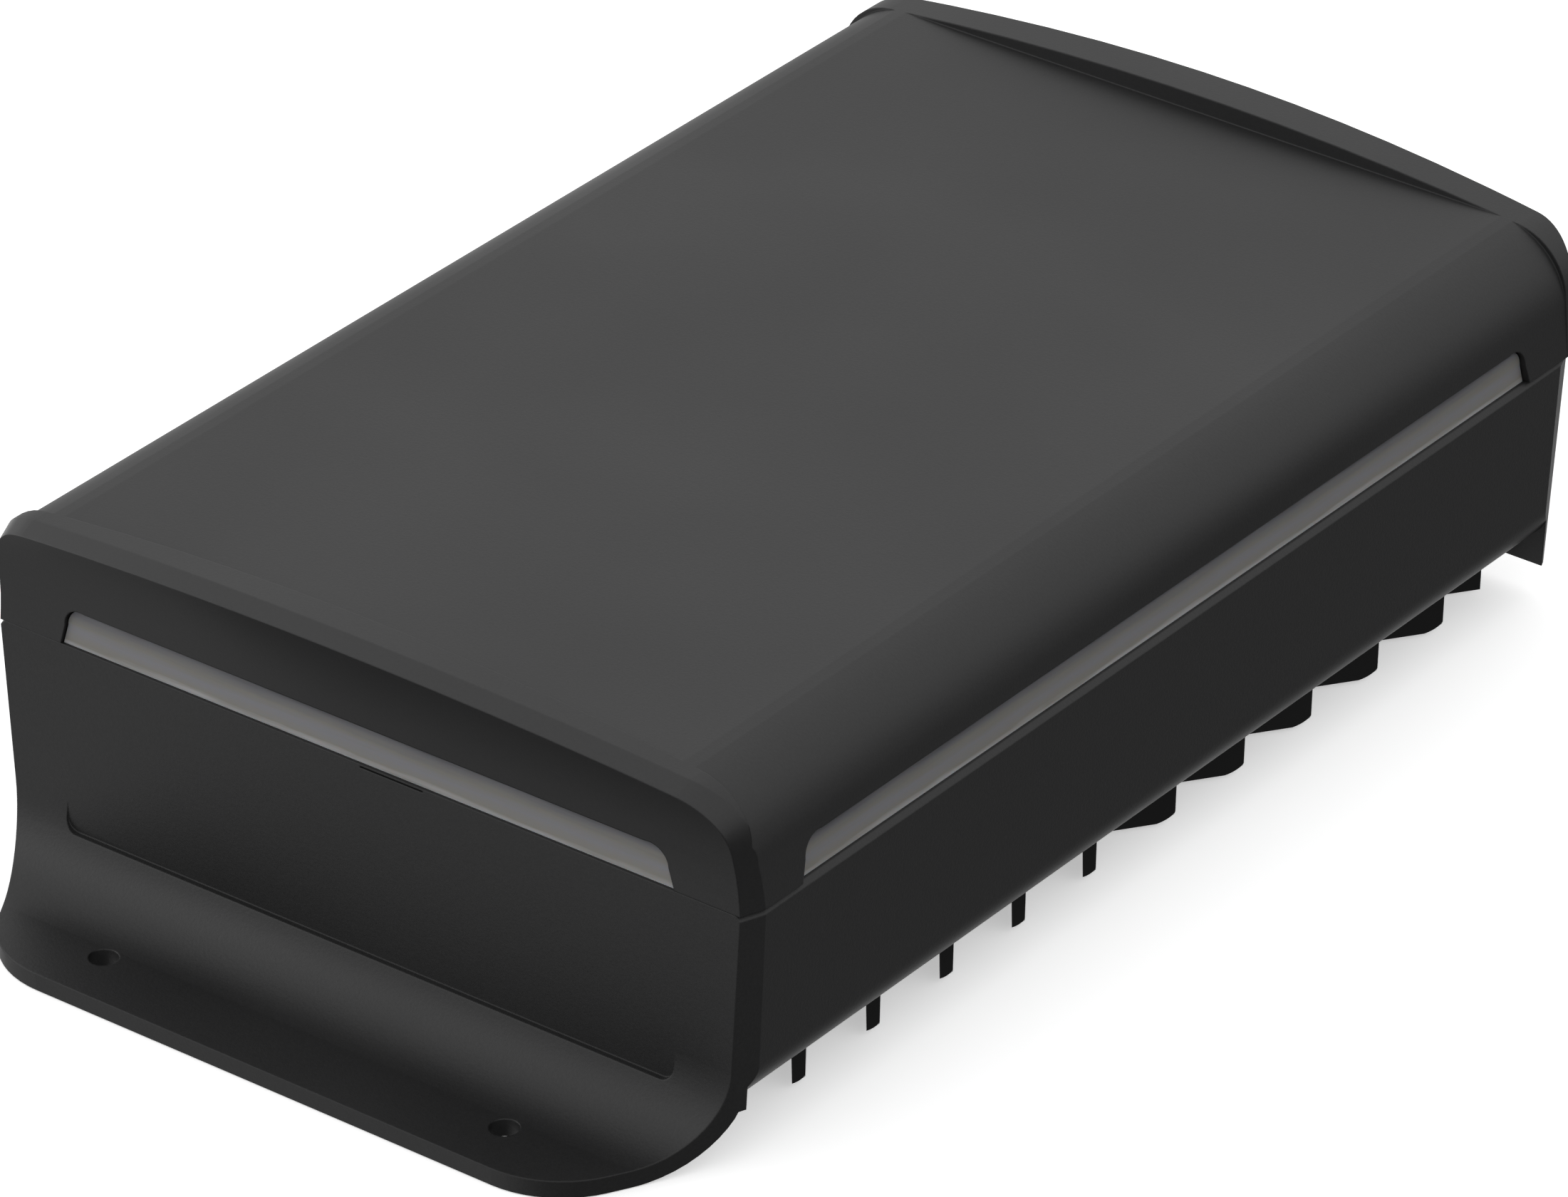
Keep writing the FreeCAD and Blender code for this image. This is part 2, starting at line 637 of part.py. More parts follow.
# room inside
INNER_TOP = "(top_height - cover_roof)"
INNER_RADIUS = "(top_corner - cover_wall)"
room = sketch_on(cover, "Room", "XZ_Plane")
outline(room, [
    ("half_width - cover_wall", "-1"),
    ("half_width - cover_lean - cover_wall", TOP_CENTRE_Z),
    (TOP_CENTRE_X, "%s + %s" % (TOP_CENTRE_Z, INNER_RADIUS), (TOP_CENTRE_X, TOP_CENTRE_Z)),
    ("-" + TOP_CENTRE_X, "%s + %s" % (TOP_CENTRE_Z, INNER_RADIUS)),
    ("-(half_width - cover_lean - cover_wall)", TOP_CENTRE_Z, ("-" + TOP_CENTRE_X, TOP_CENTRE_Z)),
    ("-(half_width - cover_wall)", "-1")])
grow(cover, "Pocket", "RoomCut", room, "2 * (half_length - cover_wall)", both_ways=True)


def window(sketch, half, inset="0"):
    """A low trapezoid on the parting plane with round top corners, inset at sides and top."""
    foot = "(%s - %s)" % (half, inset)
    head = "(%s - window_slant - %s)" % (half, inset)
    top = "(window_height - %s)" % inset
    drop = "(window_slant * window_corner / window_height)"
    shoulder = "(%s - window_corner)" % head
    low = "%s - window_corner" % top
    outline(sketch, [
        (foot, "0"),
        ("(%s + %s)" % (head, drop), low),
        (shoulder, top, (shoulder, low)),
        ("-" + shoulder, top),
        ("-(%s + %s)" % (head, drop), low, ("-" + shoulder, low)),
        ("-" + foot, "0")])


for name, role, half, offset, backward in (
        ("FrontWindow", "XZ_Plane", "front_window", "half_length + 1", False),
        ("RightWindow", "YZ_Plane", "side_window", "half_width + 1", False),
        ("LeftWindow", "YZ_Plane", "side_window", "-(half_width + 1)", True)):
    opening = sketch_on(cover, name, role, offset)
    window(opening, half)
    grow(cover, "Pocket", name + "Cut", opening, "cover_wall + 2", backward=backward)

# bosses for the screws that hold the cover down
cover_bosses = sketch_on(cover, "CoverBosses", "XY_Plane")
pilots = []
for side in ("", "-"):
    for end in ("", "-"):
        circle(cover_bosses, side + "boss_x", end + BOSS_Y, "boss_radius")
        pilots.append((side + "boss_x", end + BOSS_Y))
grow(cover, "Pad", "CoverBossPads", cover_bosses, INNER_TOP)
pilot_holes = sketch_on(cover, "PilotHoles", "XY_Plane")
for across, along in pilots:
    circle(pilot_holes, across, along, "screw_radius + screw_gap")
grow(cover, "Pocket", "PilotHoleCut", pilot_holes, "cover_screw_reach + 2", backward=True)

# ================================================================= seal and heat sink
seal = new_body("cover_gasket")
seal_line = sketch_on(seal, "SealLine", "XY_Plane", "-seal_depth")
seal_ring(seal_line, "seal_gap")
grow(seal, "Pad", "SealPad", seal_line, "seal_depth")

sink = new_body("heatsink")
plate_line = sketch_on(sink, "PlateOutline", "XY_Plane", "-" + PLATE_TOP)
PLATE_END = "(half_length - plate_margin)"
rounded(plate_line, "-plate_half_width", "-" + PLATE_END, "plate_half_width", PLATE_END, "cavity_corner")
grow(sink, "Pad", "Plate", plate_line, "plate_rebate + plate_stand", backward=True)
raised = sketch_on(sink, "RaisedPart", "XY_Plane", "-" + PLATE_TOP)
RAISED_HALF = "(opening_half_width - fit_gap)"
RAISED_END = "(%s - fit_gap)" % OPENING_END
rounded(raised, "-" + RAISED_HALF, "-" + RAISED_END, RAISED_HALF, RAISED_END, "cavity_corner")
grow(sink, "Pad", "RaisedPad", raised, PLATE_TOP + " - floor_depth")

# slanting fins, mirrored about the length and about the width
FINS = 10
FIN_ACROSS = "(fin_thickness * sin(fin_angle) / 2)"
FIN_ALONG = "(fin_thickness * cos(fin_angle) / 2)"
for quarter, side, end in (("RightRear", "", ""), ("LeftRear", "-", ""),
                           ("RightFront", "", "-"), ("LeftFront", "-", "-")):
    fins = sketch_on(sink, quarter + "Fins", "XY_Plane", "-(casing_depth + plate_stand)")
    for number in range(FINS):
        station = "(fin_pitch * %s)" % (number + 0.5)
        ends_x = {
            "outer": ("min(fin_end; fin_line + (%s - fin_margin - %s) / tan(fin_angle))"
                      % (PLATE_END, station)),
            "inner": "max(fin_lane; fin_line + (fin_lane - %s) / tan(fin_angle))" % station}
        spots = {key: (text, "(%s + (%s - fin_line) * tan(fin_angle))" % (station, text))
                 for key, text in ends_x.items()}
        outline(fins, [
            ("%s(%s %s %s)" % (side, spots[key][0], push, FIN_ACROSS),
             "%s(%s %s %s)" % (end, spots[key][1], pull, FIN_ALONG))
            for key, push, pull in (("outer", "+", "-"), ("outer", "-", "+"),
                                    ("inner", "-", "+"), ("inner", "+", "-"))])
    fin_pad = grow(sink, "Pad", quarter + "FinPads", fins, "fin_tip - casing_depth - plate_stand",
                   backward=True)
    fin_pad.setExpression("TaperAngle", bound("-fin_draft"))
doc.recompute()
# the lower outer corner of each fin is round; seen along Y that round is a quarter ellipse,
# drawn here as the arc through its two ends and its middle
FIN_TIP_X = "(fin_end + %s)" % FIN_ACROSS
RUN = "(fin_round * cos(fin_angle))"
CHORD = "sqrt(%s^2 + fin_round^2)" % RUN
RISE = "((sqrt(2) - 1) * %s * fin_round / %s)" % (RUN, CHORD)
BACK_OFF = "(%s^2 / (8 * %s) - %s / 2)" % (CHORD, RISE, RISE)
ROUND_X = "(%s - %s / 2 - %s * fin_round / %s)" % (FIN_TIP_X, RUN, BACK_OFF, CHORD)
ROUND_Z = "(fin_round / 2 - fin_tip + %s * %s / %s)" % (BACK_OFF, RUN, CHORD)
fin_ends = sketch_on(sink, "FinEnds", "XZ_Plane")
for side in ("", "-"):
    outline(fin_ends, [
        ("%s(%s - %s)" % (side, FIN_TIP_X, RUN), "-fin_tip"),
        (side + FIN_TIP_X, "-(fin_tip - fin_round)", (side + ROUND_X, ROUND_Z)),
        ("%s(%s + 1)" % (side, FIN_TIP_X), "-(fin_tip - fin_round)"),
        ("%s(%s + 1)" % (side, FIN_TIP_X), "-(fin_tip + 1)"),
        ("%s(%s - %s)" % (side, FIN_TIP_X, RUN), "-(fin_tip + 1)")])
grow(sink, "Pocket", "FinEndCut", fin_ends, both_ways=True)
plate_holes = sketch_on(sink, "PlateHoles", "XY_Plane", "-" + PLATE_TOP)
for side in ("", "-"):
    for end in ("", "-"):
        for step in SINK_STEPS:
            circle(plate_holes, side + "sink_screw_x", end + sink_screw_y(step), "screw_radius + screw_gap")
grow(sink, "Pocket", "PlateHoleCut", plate_holes, "plate_rebate + plate_stand + 1")

# ================================================================= light bars
# the side bars seat on the inside of the cover wall, at the height of the top of their lip
SIDE_SEAT = ("(%s + sqrt(%s^2 - max(0; window_height + bar_lip - %s)^2))"
             % (TOP_CENTRE_X, INNER_RADIUS, TOP_CENTRE_Z))
SIDE_DEPTH = "half_width - cover_lean - bar_recess - " + SIDE_SEAT
LIGHT_BARS = {
    "front_light_bar": ("XZ_Plane", "front_window", "half_length - cover_wall", "cover_wall - bar_recess"),
    "right_light_bar": ("YZ_Plane", "side_window", SIDE_SEAT, SIDE_DEPTH),
    "left_light_bar": ("YZ_Plane", "side_window", "-" + SIDE_SEAT, SIDE_DEPTH),
}
for label_name, (role, half, offset, depth) in LIGHT_BARS.items():
    bar = new_body(label_name)
    away = offset.startswith("-")
    face = sketch_on(bar, label_name + "_face", role, offset)
    window(face, half, "bar_gap")
    grow(bar, "Pad", label_name + "_window", face, depth, backward=away)
    lip = sketch_on(bar, label_name + "_lip", role, offset)
    rectangle(lip, "-(%s + bar_lip)" % half, "0", "%s + bar_lip" % half, "window_height + bar_lip")
    grow(bar, "Pad", label_name + "_back", lip, "bar_lip_thickness", backward=not away)

# upright boards behind the light bars, and their lamps
LIGHT_BOARD_HEIGHT = "board_top + light_board_top"
FRONT_BOARD_Y = "-(half_length - %s)" % LIGHT_BOARD_FACE
SIDE_BOARD_X = "(%s - bar_lip_thickness - light_board_gap)" % SIDE_SEAT
LAMP_LOW = "(window_height - led_size) / 2"
FRONT_BOARD_HALF = "(board_nose_half_width - board_gap)"
SIDE_BOARD_HALF = "(half_length - board_shoulder - board_gap)"
node(box("front_light_board", ("-" + FRONT_BOARD_HALF, FRONT_BOARD_Y, BOARD_TOP_Z),
         ("2 * " + FRONT_BOARD_HALF, "light_board_thickness", LIGHT_BOARD_HEIGHT)), "front_led_board")
RIGHT_BOARD_X = SIDE_BOARD_X + " - light_board_thickness"
node(box("right_light_board", (RIGHT_BOARD_X, "-" + SIDE_BOARD_HALF, BOARD_TOP_Z),
         ("light_board_thickness", "2 * " + SIDE_BOARD_HALF, LIGHT_BOARD_HEIGHT)), "right_led_board")
node(box("left_light_board", ("-" + SIDE_BOARD_X, "-" + SIDE_BOARD_HALF, BOARD_TOP_Z),
         ("light_board_thickness", "2 * " + SIDE_BOARD_HALF, LIGHT_BOARD_HEIGHT)), "left_led_board")
FRONT_LAMPS = range(-2, 3)
SIDE_LAMPS = range(-3, 4)
node(fuse("front_lamps", [
    box("front_lamp_%d" % (number + 3),
        ("led_pitch * %d - led_size / 2" % number, FRONT_BOARD_Y + " - led_thickness", LAMP_LOW),
        ("led_size", "led_thickness", "led_size")) for number in FRONT_LAMPS]), "front_leds")
for side_name, low_x in (("right", SIDE_BOARD_X), ("left", "-%s - led_thickness" % SIDE_BOARD_X)):
    node(fuse(side_name + "_lamps", [
        box("%s_lamp_%d" % (side_name, number + 4),
            (low_x, "led_pitch * %d - led_size / 2" % number, LAMP_LOW),
            ("led_thickness", "led_size", "led_size")) for number in SIDE_LAMPS]), side_name + "_leds")

# ================================================================= circuit board
board = new_body("main_board")
board_line = sketch_on(board, "BoardOutline", "XY_Plane", "-" + BOARD_UNDER)
BOARD_HALF = "(%s - board_gap)" % FLOOR_HALF
SHOULDER = "(half_length - board_shoulder)"
NOSE = "(half_length - board_nose)"
outline(board_line, [
    (BOARD_HALF, "-" + SHOULDER), (BOARD_HALF, SHOULDER),
    ("board_nose_half_width", SHOULDER), ("board_nose_half_width", NOSE),
    ("-board_nose_half_width", NOSE), ("-board_nose_half_width", SHOULDER),
    ("-" + BOARD_HALF, SHOULDER), ("-" + BOARD_HALF, "-" + SHOULDER),
    ("-board_nose_half_width", "-" + SHOULDER), ("-board_nose_half_width", "-" + NOSE),
    ("board_nose_half_width", "-" + NOSE), ("board_nose_half_width", "-" + SHOULDER)])
STANDOFF_SPOTS = [(side + "standoff_x", end + "standoff_y") for side in ("", "-") for end in ("", "-")]
for across, along in STANDOFF_SPOTS:
    circle(board_line, across, along, "screw_radius + screw_gap")
grow(board, "Pad", "BoardPad", board_line, "board_thickness")

STANDOFF_HEIGHT = "floor_depth - " + BOARD_UNDER
posts = []
for number, (across, along) in enumerate(STANDOFF_SPOTS, start=1):
    post = cylinder("post_%d" % number, (across, along, "-floor_depth"), "standoff_radius", STANDOFF_HEIGHT)
    bore = cylinder("post_bore_%d" % number, (across, along, "-floor_depth"), "screw_radius + screw_gap",
                    STANDOFF_HEIGHT)
    posts.append(cut("standoff_%d" % number, post, bore))
node(fuse("posts", posts), "board_standoffs")
node(fuse("board_screw_set", [
    screw("board_screw_%d" % number, across, along, BOARD_TOP_Z, STANDOFF_HEIGHT, False)
    for number, (across, along) in enumerate(STANDOFF_SPOTS, start=1)]), "board_screws")
HEAD_SEAT = "(head_height + screw_gap - %s)" % PLATE_TOP
node(fuse("cover_screw_set", [
    screw("cover_screw_%d" % number, across, along, HEAD_SEAT, "cover_screw_reach - " + HEAD_SEAT, True)
    for number, (across, along) in enumerate(pilots, start=1)]), "cover_screws")
sink_spots = [(side + "sink_screw_x", end + sink_screw_y(step))
              for side in ("", "-") for end in ("", "-") for step in SINK_STEPS]
SINK_SEAT = "-(casing_depth + plate_stand)"
node(fuse("sink_screw_set", [
    screw("sink_screw_%d" % number, across, along, SINK_SEAT,
          "casing_depth + plate_stand - floor_depth", True)
    for number, (across, along) in enumerate(sink_spots, start=1)]), "heatsink_screws")


def chip(name, middle, size, on_top=True):
    """A block on the board: middle across and along, size across, along and up."""
    low_z = BOARD_TOP_Z if on_top else "-(%s + %s)" % (BOARD_UNDER, size[2])
    low = ("%s - (%s) / 2" % (middle[0], size[0]), "%s - (%s) / 2" % (middle[1], size[1]), low_z)
    return box(name, low, size)


def can(name, middle):
    """A thin metal lid, open underneath."""
    outer = chip(name + "_outer", middle, ("shield_width", "shield_length", "shield_height"))
    inner = chip(name + "_inner", middle,
                 ("shield_width - 2 * shield_wall", "shield_length - 2 * shield_wall",
                                           "shield_height - shield_wall"))
    return cut(name, outer, inner)


CAN_X = "(shield_lane + shield_width) / 2"
CAN_Y = "(shield_start + shield_length / 2)"
node(can("donor_can", ("-" + CAN_X, CAN_Y)), "donor_shield")
node(can("server_can", (CAN_X, CAN_Y)), "server_shield")
node(fuse("filters", [
    chip("filter_%s_%s" % (side_name, end_name), ("%s%s" % (side, CAN_X), "%s %s" % (CAN_Y, shift)),
         ("filter_width", "filter_length", "filter_height"))
    for side_name, side in (("right", ""), ("left", "-"))
    for end_name, shift in (("front", "- filter_spread"), ("rear", "+ filter_spread"))]), "duplexer_filters")
AMP_SPOTS = (("right", "amp_x"), ("left", "-amp_x"))
node(fuse("amplifiers", [
    chip("amplifier_" + side_name, (across, "0"), ("amp_width", "amp_length", "amp_height"), on_top=False)
    for side_name, across in AMP_SPOTS]), "power_amplifiers")
AMP_LOW = "(%s + amp_height)" % BOARD_UNDER
node(fuse("pads", [
    box("pad_" + side_name,
        ("%s - amp_width / 2" % across, "-amp_length / 2", "-(%s + pad_thickness)" % AMP_LOW),
        ("amp_width", "amp_length", "pad_thickness")) for side_name, across in AMP_SPOTS]), "thermal_pads")
node(box("spreader_block", ("-spreader_half_width", "-spreader_length / 2", "-floor_depth"),
         ("2 * spreader_half_width", "spreader_length", "floor_depth - %s - pad_thickness" % AMP_LOW)),
     "heat_spreader")
node(chip("processor", ("-processor_x", "-processor_y"),
          ("processor_size", "processor_size", "chip_height")),
     "processor_chip")
node(chip("memory", ("-memory_x", "-processor_y"), ("memory_width", "memory_length", "chip_height")),
     "memory_chip")
node(chip("antenna_chip", ("-antenna_x", "-antenna_y"), ("antenna_width", "antenna_length", "chip_height")),
     "bluetooth_antenna")
node(fuse("coils", [
    chip("coil_%d" % number, ("coil_x", "-(processor_y + coil_pitch * %d)" % number),
         ("coil_size", "coil_size", "coil_height")) for number in range(3)]), "power_inductors")
node(fuse("cans", [
    cylinder("capacitor_%d" % number,
             ("capacitor_x", "-(processor_y + coil_pitch * %d)" % number, BOARD_TOP_Z),
             "capacitor_radius", "capacitor_height") for number in range(3)]), "capacitors")

# ================================================================= sockets at the rear
WALL_IN = INNER_END
AXIS_Z = "-" + SOCKET_AXIS


def coaxial(name, across):
    body_box = box(name + "_block", ("%s - block_size / 2" % across, WALL_IN + " - block_length",
                                     BOARD_TOP_Z),
                   ("block_size", "block_length", "block_size"))
    neck = cylinder(name + "_neck", (across, WALL_IN, AXIS_Z), "neck_radius",
                    "end_wall + washer_thickness + nut_thickness", REARWARD)
    thread = cylinder(name + "_thread", (across, "half_length + washer_thickness + nut_thickness", AXIS_Z),
                      "thread_radius", "thread_reach - washer_thickness - nut_thickness", REARWARD)
    bore = cylinder(name + "_bore", (across, "half_length + thread_reach - coax_depth", AXIS_Z), "coax_bore",
                    "coax_depth", REARWARD)
    contact = cylinder(name + "_contact", (across, "half_length + thread_reach - coax_depth", AXIS_Z),
                       "contact_radius", "contact_length", REARWARD)
    return fuse(name, [cut(name + "_shell", fuse(name + "_solid", [body_box, neck, thread]), bore), contact])


def ring(name, across, blank, along, thickness):
    hole = cylinder(name + "_hole", (across, along, AXIS_Z), "thread_radius + thread_gap",
                    thickness, REARWARD)
    return cut(name, blank, hole)


SOCKETS = (("donor", "donor_x"), ("server", "server_x"))
for side_name, across in SOCKETS:
    node(coaxial(side_name + "_socket", across), side_name + "_connector")
node(fuse("washers", [
    ring("washer_" + side_name, across,
         cylinder("washer_blank_" + side_name, (across, "half_length", AXIS_Z), "washer_radius",
                  "washer_thickness", REARWARD), "half_length", "washer_thickness")
    for side_name, across in SOCKETS]), "connector_washers")
NUT_Y = "half_length + washer_thickness"
node(fuse("nuts", [
    ring("nut_" + side_name, across,
         hexagon("nut_blank_" + side_name, (across, NUT_Y, AXIS_Z), "nut_radius", "nut_thickness", REARWARD),
         NUT_Y, "nut_thickness") for side_name, across in SOCKETS]), "connector_nuts")

jack_block = box("jack_block", ("power_x - jack_body / 2", WALL_IN + " - jack_length",
                                BOARD_TOP_Z), ("jack_body", "jack_length", "block_size"))
jack_nose = cylinder("jack_nose", ("power_x", WALL_IN, AXIS_Z), "jack_radius", "end_wall", REARWARD)
jack_hole = cylinder("jack_hole", ("power_x", "half_length - jack_depth", AXIS_Z), "jack_bore", "jack_depth",
                     REARWARD)
jack_contact = cylinder("jack_contact", ("power_x", "half_length - jack_depth", AXIS_Z), "jack_pin",
                        "jack_depth - 1", REARWARD)
node(fuse("jack", [cut("jack_shell", fuse("jack_solid", [jack_block, jack_nose]), jack_hole), jack_contact]),
     "power_jack")
PORT_Y = "half_length - port_length"
port_shell = box("port_shell", ("port_x - port_width / 2", PORT_Y, BOARD_TOP_Z),
                 ("port_width", "port_length", "port_height"))
port_hole = box("port_hole", ("port_x - port_width / 2 + port_wall", "half_length - port_depth",
                              BOARD_TOP_Z + " + port_wall"),
                ("port_width - 2 * port_wall", "port_depth", "port_height - 2 * port_wall"))
port_tongue = box("port_blade", ("port_x - port_width / 4", "half_length - port_depth",
                                 BOARD_TOP_Z + " + port_height / 2"),
                  ("port_width / 2", "port_depth - 1", "port_tongue"))
node(fuse("port", [cut("port_body", port_shell, port_hole), port_tongue]), "data_port")

# ================================================================= check and write
doc.recompute()
for obj in doc.Objects:
    if "Invalid" in obj.State or "Error" in obj.State:
        raise RuntimeError("%s did not compute" % obj.Label)
for piece in NODES:
    shape = piece.Shape
    if shape.isNull() or not shape.isValid() or not shape.Solids:
        raise RuntimeError("%s has no sound shape" % piece.Label)
    shape.exportStep(os.path.join("parts", piece.Label + ".step"))
    print(piece.Label, len(shape.Solids), round(shape.Volume, 1))
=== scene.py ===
import json
import math
import bpy
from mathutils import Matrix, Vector


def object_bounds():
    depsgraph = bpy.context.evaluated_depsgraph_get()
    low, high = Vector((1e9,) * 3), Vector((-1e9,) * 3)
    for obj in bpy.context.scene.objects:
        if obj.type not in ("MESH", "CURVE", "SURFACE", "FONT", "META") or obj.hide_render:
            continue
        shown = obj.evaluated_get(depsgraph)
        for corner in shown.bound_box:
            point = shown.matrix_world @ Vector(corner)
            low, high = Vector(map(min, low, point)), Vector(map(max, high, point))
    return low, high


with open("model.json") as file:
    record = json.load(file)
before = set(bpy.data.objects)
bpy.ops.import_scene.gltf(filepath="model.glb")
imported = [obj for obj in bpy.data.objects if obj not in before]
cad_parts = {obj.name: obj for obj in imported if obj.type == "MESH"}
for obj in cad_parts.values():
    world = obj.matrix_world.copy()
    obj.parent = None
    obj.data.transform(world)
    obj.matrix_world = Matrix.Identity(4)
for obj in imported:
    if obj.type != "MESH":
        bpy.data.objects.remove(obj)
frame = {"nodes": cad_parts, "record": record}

CAD_LOW, CAD_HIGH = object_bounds()
NODES = frame["nodes"]
MM = 0.001
BEVEL_FACING = 0.38          # lengthwise part of the normal on the end bevels
BEVEL_SPREAD = 0.14
GRAIN_STRENGTH = 0.55
BLOTCH = 14.0                # broad, slow changes of tone, per metre
MOULDED_SPECULAR = 0.5
MOULDED_COOL = 0.02          # how far a moulded grey leans to blue
SMOOTH_ROUGHNESS = 0.34      # on the end bevels of the cover
SMOOTH_GRAIN = 0.06
EDGE_SAMPLES = 6
EDGE_RADIUS = 0.4            # mm, softened edges of cover and casing
BRUSH_WAY = (1.0, 1.0, 30.0)
BAR_FOOT = 46.7 * MM         # parting plane, where the light bars stand
BAR_HEIGHT = 7.3 * MM
THREAD_PITCH = 0.706


# ------------------------------------------------------------------ materials
def new_material(name):
    material = bpy.data.materials.new(name)
    material.use_nodes = True
    tree = material.node_tree
    shader = tree.nodes["Principled BSDF"]
    return material, tree, shader


def noise(tree, scale, detail=2.0, roughness=0.5, stretch=(1.0, 1.0, 1.0)):
    """Noise in metres of the object's own frame."""
    place = tree.nodes.new("ShaderNodeTexCoord")
    spread = tree.nodes.new("ShaderNodeMapping")
    spread.inputs["Scale"].default_value = stretch
    tree.links.new(place.outputs["Object"], spread.inputs["Vector"])
    node = tree.nodes.new("ShaderNodeTexNoise")
    node.inputs["Scale"].default_value = scale
    node.inputs["Detail"].default_value = detail
    node.inputs["Roughness"].default_value = roughness
    tree.links.new(spread.outputs["Vector"], node.inputs["Vector"])
    return node.outputs["Fac"]


def ramp(tree, source, low, high, start=0.3, stop=0.7):
    node = tree.nodes.new("ShaderNodeValToRGB")
    node.color_ramp.elements[0].position = start
    node.color_ramp.elements[0].color = (*low, 1.0)
    node.color_ramp.elements[1].position = stop
    node.color_ramp.elements[1].color = (*high, 1.0)
    tree.links.new(source, node.inputs["Fac"])
    return node.outputs["Color"]


def number_range(tree, source, low, high, start=0.0, stop=1.0):
    node = tree.nodes.new("ShaderNodeMapRange")
    node.inputs["From Min"].default_value = start
    node.inputs["From Max"].default_value = stop
    node.inputs["To Min"].default_value = low
    node.inputs["To Max"].default_value = high
    tree.links.new(source, node.inputs["Value"])
    return node.outputs["Result"]


def bump(tree, shader, layers, edge=0.0):
    """Layers of (height source, strength, distance in metres); edge is an edge radius in mm."""
    last = None
    if edge:
        soft = tree.nodes.new("ShaderNodeBevel")
        soft.samples = EDGE_SAMPLES
        soft.inputs["Radius"].default_value = edge * MM
        last = soft.outputs["Normal"]
    for source, strength, distance in layers:
        node = tree.nodes.new("ShaderNodeBump")
        if isinstance(strength, float):
            node.inputs["Strength"].default_value = strength
        else:
            tree.links.new(strength, node.inputs["Strength"])
        node.inputs["Distance"].default_value = distance
        tree.links.new(source, node.inputs["Height"])
        if last is not None:
            tree.links.new(last, node.inputs["Normal"])
        last = node.outputs["Normal"]
    tree.links.new(last, shader.inputs["Normal"])


def shade(value):
    """Linear value of an sRGB level from 0 to 255."""
    level = value / 255.0
    return level / 12.92 if level <= 0.04045 else ((level + 0.055) / 1.055) ** 2.4


def grey(value, warm=0.0, cool=0.0):
    base = shade(value)
    return (base * (1 + warm), base, base * (1 + cool))


def end_bevel_mask(tree):
    """1 on the bevels round the two ends, 0 elsewhere, told by which way the surface faces."""
    facing = tree.nodes.new("ShaderNodeNewGeometry")
    split = tree.nodes.new("ShaderNodeSeparateXYZ")
    tree.links.new(facing.outputs["True Normal"], split.inputs["Vector"])
    lengthwise = tree.nodes.new("ShaderNodeMath")
    lengthwise.operation = "ABSOLUTE"
    tree.links.new(split.outputs["Y"], lengthwise.inputs[0])
    close = tree.nodes.new("ShaderNodeMath")
    close.operation = "COMPARE"
    close.inputs[1].default_value = BEVEL_FACING
    close.inputs[2].default_value = BEVEL_SPREAD
    tree.links.new(lengthwise.outputs["Value"], close.inputs[0])
    return close.outputs["Value"]


def blend(tree, mask, off, on):
    """A value that is off where the mask is 0 and on where it is 1; either may be a socket."""
    node = tree.nodes.new("ShaderNodeMix")
    node.data_type = "FLOAT"
    tree.links.new(mask, node.inputs[0])
    for socket, source in ((node.inputs[2], off), (node.inputs[3], on)):
        if isinstance(source, float):
            socket.default_value = source
        else:
            tree.links.new(source, socket)
    return node.outputs[0]


def grained(name, dark, light, roughness, grain_size, grain_depth, smooth_bevels=False, edge=0.0):
    """Moulded or cast surface; sizes and depths of its grain in mm."""
    material, tree, shader = new_material(name)
    fine = noise(tree, 1.0 / (grain_size * MM), 3.0, 0.6)
    broad = noise(tree, BLOTCH, 2.0, 0.5)
    mix = tree.nodes.new("ShaderNodeMath")
    mix.operation = "MULTIPLY_ADD"
    mix.inputs[1].default_value = 0.6
    tree.links.new(fine, mix.inputs[0])
    part = number_range(tree, broad, 0.0, 0.4)
    tree.links.new(part, mix.inputs[2])
    colour = ramp(tree, mix.outputs["Value"], grey(dark, cool=MOULDED_COOL),
                  grey(light, cool=MOULDED_COOL), 0.3, 0.72)
    tree.links.new(colour, shader.inputs["Base Color"])
    rough = number_range(tree, broad, roughness - 0.04, roughness + 0.05, 0.3, 0.7)
    shader.inputs["Specular IOR Level"].default_value = MOULDED_SPECULAR
    strength = GRAIN_STRENGTH
    if smooth_bevels:
        mask = end_bevel_mask(tree)
        rough = blend(tree, mask, rough, SMOOTH_ROUGHNESS)
        strength = blend(tree, mask, GRAIN_STRENGTH, SMOOTH_GRAIN)
    tree.links.new(rough, shader.inputs["Roughness"])
    bump(tree, shader, [(fine, strength, grain_depth * MM)], edge)
    return material


